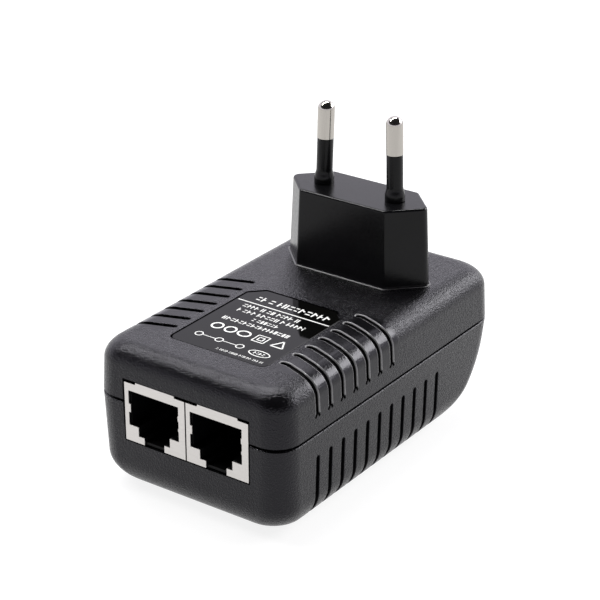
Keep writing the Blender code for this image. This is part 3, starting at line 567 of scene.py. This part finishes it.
def top_groove(side, y):
    """From the inner end on the top face, out over the edge round and down the side."""
    up, out = Vector((0, 0, 1)), Vector((side, 0, 0))
    inner = TOP_INNER_X + side * TOP_SHIFT
    edge_x = HALF_WIDTH - edge_inset(TOP, TOP, TOP_ROUND, TOP_DRAFT)

    def back(x):
        over = max(TOP_BEND_X - x, 0.0)
        smooth = over * over / (2 * TOP_BEND) if over < TOP_BEND else over - TOP_BEND / 2
        curl = max(HOOK_FROM - x, 0.0) / (HOOK_FROM - TOP_INNER_X)
        return y + TOP_SLOPE * smooth - max(side, 0) * HOOK * curl * curl

    flat = []
    for i in range(FLAT_STEPS):
        x = inner + (edge_x - inner) * i / FLAT_STEPS
        flat.append(Vector((side * x, back(x), TOP)))
    inward = (flat[0] - flat[1]).normalized()
    stations = round_end(flat[0], inward, up, True)
    stations += [(point, up, None) for point in flat]
    for i, z in enumerate(round_levels(TOP, TOP_ROUND)[::-1]):
        lean = math.pi / 2 * i / ROUND_STEPS
        x = HALF_WIDTH - edge_inset(z, TOP, TOP_ROUND, TOP_DRAFT)
        normal = Vector((side * math.sin(lean), 0, math.cos(lean)))
        stations.append((Vector((side * x, back(x), z)), normal, None))
    stations.append((side_point(side, y, TAIL_FROM), out, None))
    return stations


def tail_groove(side, y, reach):
    """One of the two fine legs that a top groove splits into at its lower end."""
    out = Vector((side, 0, 0))
    start = side_point(side, y + reach * TAIL_START[0], TAIL_FROM + TAIL_START[1])
    end = side_point(side, y + reach, TOP_END)
    return [(start, out, None), (start.lerp(end, 0.5), out, None), (end, out, None)]


def base_groove(side, y):
    """From its round top end down the side, round the lower edge and in under the case."""
    out = Vector((side, 0, 0))
    start = BASE_TOP + BASE_SLOT[0] + BASE_SLOT[1]
    drops = [start, (start + DEPTH - BASE_ROUND) / 2] + round_levels(DEPTH, BASE_ROUND)
    stations = []
    for drop in drops:
        over = min(max(drop - (DEPTH - BASE_ROUND), 0.0) / BASE_ROUND, 1.0)
        x = HALF_WIDTH - edge_inset(drop, DEPTH, BASE_ROUND, BASE_DRAFT)
        normal = Vector((side * math.sqrt(1 - over * over), 0, -over))
        stations.append((Vector((side * x, y, -drop)), normal, None))
    head = round_end(stations[0][0], Vector((0, 0, 1)), out, True)
    inner = Vector((side * BASE_INNER_X, y, -DEPTH))
    down = Vector((0, 0, -1))
    tail = [(inner, down, None)] + round_end(inner, Vector((-side, 0, 0)), down, False)
    return head + stations + tail


def top_groove_cutters(side):
    bm = bmesh.new()
    for i in range(TOP_GROOVES):
        sweep_slot(bm, TOP_SLOT, top_groove(side, TOP_FIRST + PITCH * i))
    return bm


def tail_cutters(reach):
    bm = bmesh.new()
    for side in (-1, 1):
        for i in range(TOP_GROOVES):
            sweep_slot(bm, TAIL_SLOT, tail_groove(side, TOP_FIRST + PITCH * i, reach))
    return bm


def base_groove_cutters():
    bm = bmesh.new()
    for side in (-1, 1):
        for i in range(BASE_GROOVES):
            sweep_slot(bm, BASE_SLOT, base_groove(side, BASE_FIRST + PITCH * i))
    return bm


# The recess for the label: square corners towards the sockets, cut corners towards the plug.
label_low, label_high = (design(corner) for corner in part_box("rating_label"))
LABEL_CHAMFER = 3.1
RECESS_DEPTH = 0.7
LABEL_RADII = (1.6, 0.5)        # of the square corners and of the cut ones


def label_outline(grow):
    left, right = label_low.x - grow, label_high.x + grow
    front, back = label_low.y - grow, label_high.y + grow
    corners = [(right, front), (right, back - LABEL_CHAMFER), (right - LABEL_CHAMFER, back),
               (left + LABEL_CHAMFER, back), (left, back - LABEL_CHAMFER), (left, front)]
    square, cut_corner = LABEL_RADII
    return rounded_polygon(corners, [square] + [cut_corner] * 4 + [square], 5)


# The opening for both sockets.
JACK_BOTTOM = design(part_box("jack_housing_left")[0]).z
HEADROOM = 0.35                 # extra height of the opening, over the shields
OPENING_STEPS = ((-1.0, 0.5), (0.0, 0.12), (0.2, 0.0), (5.0, 0.0))      # y, and growth of the outline there


def jack_opening():
    """Opening for both sockets, with a slightly broken outer edge."""
    low, high = design(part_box("jack_shield_left")[0]), design(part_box("jack_shield_right")[1])
    sheet_bottom = JACK_BOTTOM - GAP
    rings = []
    for y, grow in OPENING_STEPS:
        x0, x1 = low.x - GAP - grow, high.x + GAP + grow
        z0, z1 = sheet_bottom - grow, high.z + GAP + HEADROOM + grow
        rings.append([(x0, y, z0), (x1, y, z0), (x1, y, z1), (x0, y, z1)])
    return loft(rings)


def make_case_top():
    seam = SEAM_GAP / 2
    rings = [top_ring(z, 0.0) for z in round_levels(TOP, TOP_ROUND)][::-1]
    rings += [raised(top_ring(seam, 0.0), seam + SEAM_ROUND), top_ring(seam, 0.0, SEAM_ROUND)]
    outer, clearance = REBATE
    step = LIP_HEIGHT + clearance
    rings += [top_ring(seam, outer), top_ring(step, outer), top_ring(step, WALL)]
    rings += [top_ring(z, WALL) for z in round_levels(TOP - WALL, TOP_ROUND - WALL, 4)]
    shell = link_mesh("case_top", loft(rings))
    shell.data.materials.append(CASE_PLASTIC)
    # Every groove cut gives its walls and floor the darker groove material, which is painted shade.
    # The right-hand top grooves' lips take the lighter lip material, a painted highlight; the left-hand
    # lips keep the case plastic.
    cut(shell, top_groove_cutters(1), (GROOVE_SHADE_PLASTIC, LIP_HIGHLIGHT_PLASTIC))
    cut(shell, top_groove_cutters(-1), (GROOVE_SHADE_PLASTIC, CASE_PLASTIC))
    for reach in TAIL_REACH:
        cut(shell, tail_cutters(reach), (GROOVE_SHADE_PLASTIC, GROOVE_SHADE_PLASTIC))
    cut(shell, prism(label_outline(GAP), TOP - RECESS_DEPTH, TOP + 1))
    cut(shell, jack_opening())
    return settle(shell, CASE_PLASTIC, ["top_shell"])


def make_case_base():
    seam = SEAM_GAP / 2
    rings = [base_ring(drop, 0.0) for drop in round_levels(DEPTH, BACK_SWEEP, 2 * ROUND_STEPS)][::-1]
    rings += [raised(base_ring(seam, 0.0), -seam - SEAM_ROUND), base_ring(seam, 0.0, SEAM_ROUND)]
    rings += [base_ring(seam, LIP)]
    rings += [raised(base_ring(0.0, inset), LIP_HEIGHT) for inset in (LIP, WALL)]
    rings += [base_ring(drop, WALL) for drop in round_levels(DEPTH - WALL, BACK_SWEEP - WALL, 6)]
    shell = link_mesh("case_base", loft(rings))
    shell.data.materials.append(CASE_PLASTIC)
    # The base grooves' walls and floors take the darker groove material, painted shade.
    cut(shell, base_groove_cutters(), (GROOVE_SHADE_PLASTIC, CASE_PLASTIC))
    cut(shell, jack_opening())
    return settle(shell, CASE_PLASTIC, ["bottom_shell"])


# ---------------------------------------------------------------- label

INK_RISE = 0.012
RING_STEPS = 28
RULE_Y = 33.3                   # the line under the first row of marks
PRINT_ROWS = (                  # start and end in x, y, and height of each row of marks
    (-8.1, 10.5, 35.9, 2.0),
    (-8.6, 6.0, 31.5, 1.45),
    (-8.3, 8.5, 29.1, 1.45),
    (-2.7, 3.9, 26.7, 1.3),
    (-8.6, 8.6, 24.3, 1.4),
    (-0.7, 10.9, 11.7, 0.75),
)
SIGN_RINGS = (                  # x, y and the half axes
    (-7.0, 20.3, 1.25, 1.25),
    (-3.6, 20.3, 1.25, 1.25),
    (-0.1, 20.3, 1.45, 1.15),
)
SQUARES = (4.3, 20.2)           # middle of the nested squares
SQUARE_SIZES = (1.45, 0.65)     # half their sides
TRIANGLE = ((7.5, 19.0), (10.5, 19.0), (9.0, 21.9))
CHAIN_Y = 15.1                  # three small rings joined by lines
CHAIN_RINGS = (-7.8, -2.6, 2.7)
CHAIN_LINES = ((-6.9, -3.5), (-1.7, 1.8))
OVAL = (8.0, 14.6)


def make_label_film():
    film = link_mesh("label_film", prism(label_outline(0.0), label_low.z, label_high.z))
    round_edges(film, 0.05, 1)
    return settle(film, LABEL_FILM, ["rating_label"])


def stroke(bm, points, width):
    """A flat printed line through points in label coordinates (x, y)."""
    z = label_high.z
    points = [Vector(point) for point in points]
    rings = []
    last = len(points) - 1
    for i, point in enumerate(points):
        along = (points[min(i + 1, last)] - points[max(i - 1, 0)]).normalized()
        across = Vector((-along.y, along.x)) * width / 2
        left, right = point + across, point - across
        rings.append([(left.x, left.y, z), (right.x, right.y, z),
                      (right.x, right.y, z + INK_RISE), (left.x, left.y, z + INK_RISE)])
    add_loft(bm, rings)


def printed_loop(bm, corners, width):
    """A printed polygon, side by side."""
    for i, corner in enumerate(corners):
        stroke(bm, [corner, corners[(i + 1) % len(corners)]], width)


def printed_ring(bm, centre, radii, width):
    """A printed ellipse."""
    z = label_high.z
    rings = []
    for i in range(RING_STEPS):
        angle = 2 * math.pi * i / RING_STEPS
        c, s = math.cos(angle), math.sin(angle)
        inner = (centre[0] + (radii[0] - width / 2) * c, centre[1] + (radii[1] - width / 2) * s)
        outer = (centre[0] + (radii[0] + width / 2) * c, centre[1] + (radii[1] + width / 2) * s)
        rings.append([(*inner, z), (*outer, z), (*outer, z + INK_RISE), (*inner, z + INK_RISE)])
    add_loft(bm, rings, closed=True)


def dashes(bm, start, end, y, height, seed):
    """A row of small abstract marks of uneven width, in place of writing."""
    picker = random.Random(seed)
    x = start
    thick = height * 0.20
    low, high = y - height / 2, y + height / 2
    while x < end:
        width = height * picker.uniform(0.40, 0.62)
        right = min(x + width, end)
        kind = picker.choice(("bars", "steps", "posts", "steps"))
        if kind == "bars":
            stroke(bm, [(x, low + thick), (right, low + thick)], thick)
            stroke(bm, [(x, high - thick), (right, high - thick)], thick)
        elif kind == "steps":
            stroke(bm, [(x + thick / 2, low), (x + thick / 2, high)], thick)
            stroke(bm, [(x + thick, y + picker.choice((-0.25, 0.0, 0.3)) * height), (right, y)], thick)
        else:
            stroke(bm, [(x + thick / 2, low), (x + thick / 2, high)], thick)
            stroke(bm, [(right - thick / 2, low), (right - thick / 2, high)], thick)
        x += width + height * picker.choice((0.22, 0.22, 0.22, 0.55))


def make_label_print():
    """Neutral marks in the places of the printed ones: a rule, rows of dashes and plain shapes."""
    bm = bmesh.new()
    middle = (label_low.x + label_high.x) / 2
    half = (label_high.x - label_low.x) / 2
    stroke(bm, [(middle - half + 0.35, RULE_Y), (middle + half - 0.3, RULE_Y)], 0.34)
    for seed, (start, end, y, height) in enumerate(PRINT_ROWS, 1):
        dashes(bm, start, end, y, height, seed)
    for x, y, across, along in SIGN_RINGS:
        printed_ring(bm, (x, y), (across, along), 0.42)
    x, y = SQUARES
    for size in SQUARE_SIZES:
        corners = [(x - size, y - size), (x + size, y - size), (x + size, y + size), (x - size, y + size)]
        printed_loop(bm, corners, 0.26)
    printed_loop(bm, TRIANGLE, 0.34)
    for x in CHAIN_RINGS:
        printed_ring(bm, (x, CHAIN_Y), (0.85, 0.85), 0.24)
    for start, end in CHAIN_LINES:
        stroke(bm, [(start, CHAIN_Y), (end, CHAIN_Y)], 0.2)
    printed_ring(bm, OVAL, (2.5, 1.15), 0.26)
    dashes(bm, OVAL[0] - 1.3, OVAL[0] + 1.3, OVAL[1], 1.0, len(PRINT_ROWS) + 1)
    return settle(link_mesh("label_print", bm), LABEL_INK, [])


# ---------------------------------------------------------------- plug block, pins and sleeves

block_design_low, block_design_high = design(block_low), design(block_high)
PLUG_Y = (block_design_low.y + block_design_high.y) / 2
PLUG_TOP = block_design_high.z
BASE_SIZE = (block_design_high.x, (block_design_high.y - block_design_low.y) / 2)
TOP_SIZE = (17.3, 6.85)         # half length and half width at the plug face
TIP_ROUND = 1.5                 # corner radii of the hexagon
SHOULDER_ROUND = 0.9
EDGE_ROUND = 0.55               # along the rim of the plug face
FOOT_FLARE = 0.45               # how far the foot spreads where it meets the case
FOOT_HIGHLIGHT_BAND = 0.14               # height of the band round the foot that is painted lighter, a painted highlight
PIN_HALF_PITCH = 9.3
PIN_LEAN = math.radians(1.66)
PIN_RADIUS = 1.9
PIN_LENGTH = 19.0
SHANK_RADIUS = 1.2
SHANK_START = -3.0              # below the plug face
PIN_BREAK = 0.06                # broken edge of the pin, at the sleeve's end
SLEEVE_RADIUS = 1.82
SLEEVE_END = 10.45
SLEEVE_BREAK = 0.12
COLLAR_RADIUS = 2.22
COLLAR_FLARE = (1.1, 2.0)       # where the collar starts to narrow, and over what length
SOCKET_CLEAR = 0.12             # room round a sleeve in the plug block


def block_ring(share, z, grow):
    """Long hexagon with rounded corners.  share runs from the foot, 0, to the plug face, 1."""
    length = BASE_SIZE[0] + (TOP_SIZE[0] - BASE_SIZE[0]) * share
    width = BASE_SIZE[1] + (TOP_SIZE[1] - BASE_SIZE[1]) * share + grow
    tip = length + TIP_ROUND * (math.sqrt(2) - 1) + grow * math.sqrt(2)
    shoulder = tip - width
    corners = [(shoulder, PLUG_Y - width), (tip, PLUG_Y), (shoulder, PLUG_Y + width),
               (-shoulder, PLUG_Y + width), (-tip, PLUG_Y), (-shoulder, PLUG_Y - width)]
    radii = [SHOULDER_ROUND + grow, TIP_ROUND + grow, SHOULDER_ROUND + grow] * 2
    return [(x, y, z) for x, y in rounded_polygon(corners, radii, 5)]


def make_plug_body():
    foot = TOP + 0.01
    height = PLUG_TOP - foot
    rings = []
    for turn in (0, 22.5, 45, 67.5, 90):
        angle = math.radians(turn)
        out, up = FOOT_FLARE * (1 - math.sin(angle)), FOOT_FLARE * (1 - math.cos(angle))
        rings.append(block_ring(up / height, foot + up, out))
    for turn in (0, 18, 36, 54, 72, 90):
        angle = math.radians(turn)
        z = PLUG_TOP - EDGE_ROUND * (1 - math.sin(angle))
        rings.append(block_ring((z - foot) / height, z, -EDGE_ROUND * (1 - math.cos(angle))))
    body = link_mesh("plug_body", loft(rings))
    body.data.materials.append(PLUG_PLASTIC)
    for side in (-1, 1):
        origin, direction = pin_axis(side)
        bore = SLEEVE_RADIUS + SOCKET_CLEAR
        cut(body, loft(turned([(SHANK_START - 1.0, bore), (1.0, bore)], origin, direction)))
    # The lowest band of the block's faces takes the lighter foot material, a painted highlight.
    body.data.materials.append(FOOT_HIGHLIGHT_PLASTIC)
    for face in body.data.polygons:
        if foot + 0.001 < design(face.center).z < foot + FOOT_HIGHLIGHT_BAND:
            face.material_index = 1
    return settle(body, PLUG_PLASTIC, ["plug_block"], sharp=40.0)


def pin_axis(side):
    origin = Vector((side * PIN_HALF_PITCH, PLUG_Y, PLUG_TOP))
    return origin, Vector((-side * math.sin(PIN_LEAN), 0, math.cos(PIN_LEAN)))


def make_pin(name, side):
    origin, direction = pin_axis(side)
    step = SLEEVE_END + 0.05
    profile = [(SHANK_START, SHANK_RADIUS), (step, SHANK_RADIUS),
               (step, PIN_RADIUS - PIN_BREAK), (step + PIN_BREAK, PIN_RADIUS)]
    dome = PIN_LENGTH - PIN_RADIUS
    for i in range(16):
        angle = math.radians(i * 6)
        profile.append((dome + PIN_RADIUS * math.sin(angle), PIN_RADIUS * math.cos(angle)))
    pin = link_mesh("pin_" + name, loft(turned(profile, origin, direction)))
    return settle(pin, PIN_NICKEL, ["plug_pin_" + name])


def make_sleeve(name, side):
    """Insulating sleeve with a flared collar, as a tube round the pin's shank."""
    origin, direction = pin_axis(side)
    bore = SHANK_RADIUS + 0.05
    profile = [(SHANK_START, bore), (SHANK_START, SLEEVE_RADIUS), (0.02, SLEEVE_RADIUS),
               (0.02, COLLAR_RADIUS - 0.06), (0.10, COLLAR_RADIUS)]
    start, length = COLLAR_FLARE
    for i in range(9):
        t = i / 8
        flare = (COLLAR_RADIUS - SLEEVE_RADIUS) * (1 - t * t * (3 - 2 * t))
        profile.append((start + length * t, SLEEVE_RADIUS + flare))
    profile += [(SLEEVE_END - SLEEVE_BREAK, SLEEVE_RADIUS), (SLEEVE_END, SLEEVE_RADIUS - SLEEVE_BREAK),
                (SLEEVE_END, bore)]
    sleeve = link_mesh("sleeve_" + name, loft(turned(profile, origin, direction), closed=True))
    return settle(sleeve, SLEEVE_PLASTIC, ["pin_sleeve_" + name])


# ---------------------------------------------------------------- network sockets

SHEET = 0.3                     # thickness of the metal
MOUTH_SHIFT = -0.3              # the mouth sits a little left of the middle of its plate
LATCH_HALF = 2.6                # half width of the latch channel
RAISED_FROM, RAISED_TO = -5.0, 5.3          # stretch of the shield's top edge that stands up
RAISE = 0.5
CAN_INSET = 0.2                 # the folded can sits this far inside its front plate
CAN_SETBACK = 3.0               # and begins this far behind it, so that black plastic shows in the gap


def mouth_outline(centre):
    """The right and left sides of the opening in the metal, round the plug mouth and its two steps."""
    middle = centre + MOUTH_SHIFT
    right = [(6.5, 2.85), (6.5, 0.9), (6.3, 0.75), (6.3, -0.35), (6.5, -0.5), (6.5, -2.0), (6.35, -2.15),
             (6.35, -2.75), (6.5, -2.9), (6.5, -5.1), (4.1, -5.1), (4.1, -7.2), (LATCH_HALF, -7.2)]
    left = [(-LATCH_HALF, -7.2), (-4.1, -7.2), (-4.1, -5.1), (-6.5, -5.1), (-6.5, -2.15), (-6.0, -2.15),
            (-6.0, -0.2), (-6.5, -0.2), (-6.5, 2.85)]
    return [(middle + x, z) for x, z in right], [(middle + x, z) for x, z in left]


def make_shield(name):
    low, high = (design(corner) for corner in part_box("jack_shield_" + name))
    centre = (low.x + high.x) / 2
    bottom = JACK_BOTTOM
    right, left = mouth_outline(centre)
    middle = centre + MOUTH_SHIFT
    outline = [(high.x, bottom), (high.x, high.z), (centre + RAISED_TO, high.z),
               (centre + RAISED_TO - 0.15, high.z + RAISE), (centre + RAISED_FROM + 0.15, high.z + RAISE),
               (centre + RAISED_FROM, high.z), (low.x, high.z), (low.x, bottom)]
    outline += [(middle - LATCH_HALF, bottom)] + left + right + [(middle + LATCH_HALF, bottom)]
    shield = link_mesh("shield_" + name, front_prism(outline, low.y, low.y + SHEET))
    round_edges(shield, 0.07, 2, 30.0)
    can = box((low.x + CAN_INSET, low.y + CAN_SETBACK, bottom),
              (high.x - CAN_INSET, high.y, high.z - CAN_INSET))
    hollow = link_mesh("shield_can_" + name, can)
    inset = CAN_INSET + SHEET
    cut(hollow, box((low.x + inset, low.y, bottom - 1), (high.x - inset, high.y - SHEET, high.z - inset)))
    settle(hollow, SHIELD_NICKEL, [])
    return settle(shield, SHIELD_NICKEL, ["jack_shield_" + name])


# ---------------------------------------------------------------- floor, light and camera

# This section works in metres.
FLOOR_SIZE = 3.0                # half the side
FLOOR_TINT = 0.22
FLOOR_GLOW = 0.85               # light of its own, so that the floor stays white
ROOM = 1.50                     # brightness of the pale studio round the object
DARK_AZIMUTH = math.radians(35.4)           # the unlit side of the studio: its middle
DARK_ELEVATION = math.radians(70.0)
DARK_ACROSS = math.radians(73.0)            # and how far it reaches from there
DARK_UP = math.radians(62.0)
DARK_EDGE = (0.88, 1.12)        # its soft border, as shares of that reach
DARK_LIGHT = 0.02               # share of the room's light that is left in it


def make_stage():
    size = FLOOR_SIZE
    corners = [(-size, -size, 0), (size, -size, 0), (size, size, 0), (-size, size, 0)]
    mesh = bpy.data.meshes.new("floor")
    mesh.from_pydata(corners, [], [(0, 1, 2, 3)])
    floor = bpy.data.objects.new("floor", mesh)
    bpy.context.scene.collection.objects.link(floor)
    material, tree, shader = new_material("pale_floor")
    shader.inputs["Base Color"].default_value = (FLOOR_TINT, FLOOR_TINT, FLOOR_TINT, 1.0)
    shader.inputs["Roughness"].default_value = 0.9
    shader.inputs["Specular IOR Level"].default_value = 0.0
    shader.inputs["Emission Color"].default_value = (1.0, 1.0, 1.0, 1.0)
    shader.inputs["Emission Strength"].default_value = FLOOR_GLOW
    mesh.materials.append(material)


def make_world():
    """A pale studio all round, with a soft-edged unlit part overhead and towards the photographer."""
    world = bpy.data.worlds.new("studio")
    world.use_nodes = True
    tree = world.node_tree
    direction = node(tree, "ShaderNodeTexCoord").outputs["Generated"]
    turn, lift = DARK_AZIMUTH, DARK_ELEVATION
    ahead = (math.sin(turn) * math.cos(lift), -math.cos(turn) * math.cos(lift), math.sin(lift))
    across = (math.cos(turn), math.sin(turn), 0.0)
    upward = (-math.sin(turn) * math.sin(lift), math.cos(turn) * math.sin(lift), math.cos(lift))

    def along(axis, share=1.0):
        inputs = {0: direction, 1: [share * part for part in axis]}
        return node(tree, "ShaderNodeVectorMath", inputs, operation="DOT_PRODUCT").outputs["Value"]

    side = maths(tree, "POWER", along(across, 1 / math.tan(DARK_ACROSS)), 2.0)
    rise = maths(tree, "POWER", along(upward, 1 / math.tan(DARK_UP)), 2.0)
    away = maths(tree, "SQRT", maths(tree, "ADD", side, rise))
    reach = maths(tree, "DIVIDE", away, maths(tree, "MAXIMUM", along(ahead), 0.001))
    light = spread(tree, reach, DARK_LIGHT, 1.0, *DARK_EDGE)
    background = tree.nodes["Background"]
    background.inputs["Color"].default_value = (0.985, 0.96, 1.06, 1.0)
    tree.links.new(maths(tree, "MULTIPLY", light, ROOM), background.inputs["Strength"])
    bpy.context.scene.world = world


def add_softbox(name, place, size, power):
    data = bpy.data.lights.new(name, "AREA")
    data.shape = "RECTANGLE"
    data.size, data.size_y = size
    data.energy = power
    lamp = bpy.data.objects.new(name, data)
    lamp.location = place
    bpy.context.scene.collection.objects.link(lamp)
    return lamp


def make_light():
    """A strip light overhead draws the highlight along the edges; a softbox at the right fills the side."""
    make_world()
    strip = add_softbox("strip_overhead", (-0.31, 0.03, 0.68), (1.0, 0.10), 10.0)
    strip.rotation_euler = (0.0, 0.0, math.radians(52.0))
    fill = add_softbox("softbox_right", (0.34, 0.54, 0.34), (0.5, 0.28), 5.0)
    aim = Vector((0.12, 0.12, 0.0)) - fill.location
    fill.rotation_euler = aim.to_track_quat("-Z", "Y").to_euler()


LENS = 118.69                   # focal length in millimetres, for a sensor 36 mm wide
CAMERA_PLACE = (0.222089, -0.312859, 0.212130)
CAMERA_AZIMUTH = math.radians(35.431)
CAMERA_ELEVATION = math.radians(25.027)


def make_camera():
    data = bpy.data.cameras.new("camera")
    data.lens = LENS
    data.sensor_width = 36.0
    data.clip_start, data.clip_end = 0.01, 20.0
    camera = bpy.data.objects.new("camera", data)
    level = math.cos(CAMERA_ELEVATION)
    back = Vector((math.sin(CAMERA_AZIMUTH) * level, -math.cos(CAMERA_AZIMUTH) * level,
                   math.sin(CAMERA_ELEVATION)))
    camera.location = CAMERA_PLACE
    camera.rotation_mode = "QUATERNION"
    camera.rotation_quaternion = (-back).to_track_quat("-Z", "Y")
    bpy.context.scene.collection.objects.link(camera)
    bpy.context.scene.camera = camera
    bpy.context.scene.view_settings.view_transform = "Standard"


def finish_cad_nodes():
    """Give the CAD nodes that stay their node materials."""
    slots = {row["node"]: row["material_slot"] for row in frame["record"]["subparts"]}
    for name, thing in frame["nodes"].items():
        if slots[name] in FINISHES:
            thing.data.materials.clear()
            thing.data.materials.append(FINISHES[slots[name]])


make_camera()
make_stage()
make_light()
make_case_top()
make_case_base()
make_label_film()
make_label_print()
make_plug_body()
for word, side in (("left", -1), ("right", 1)):
    make_pin(word, side)
    make_sleeve(word, side)
    make_shield(word)
finish_cad_nodes()
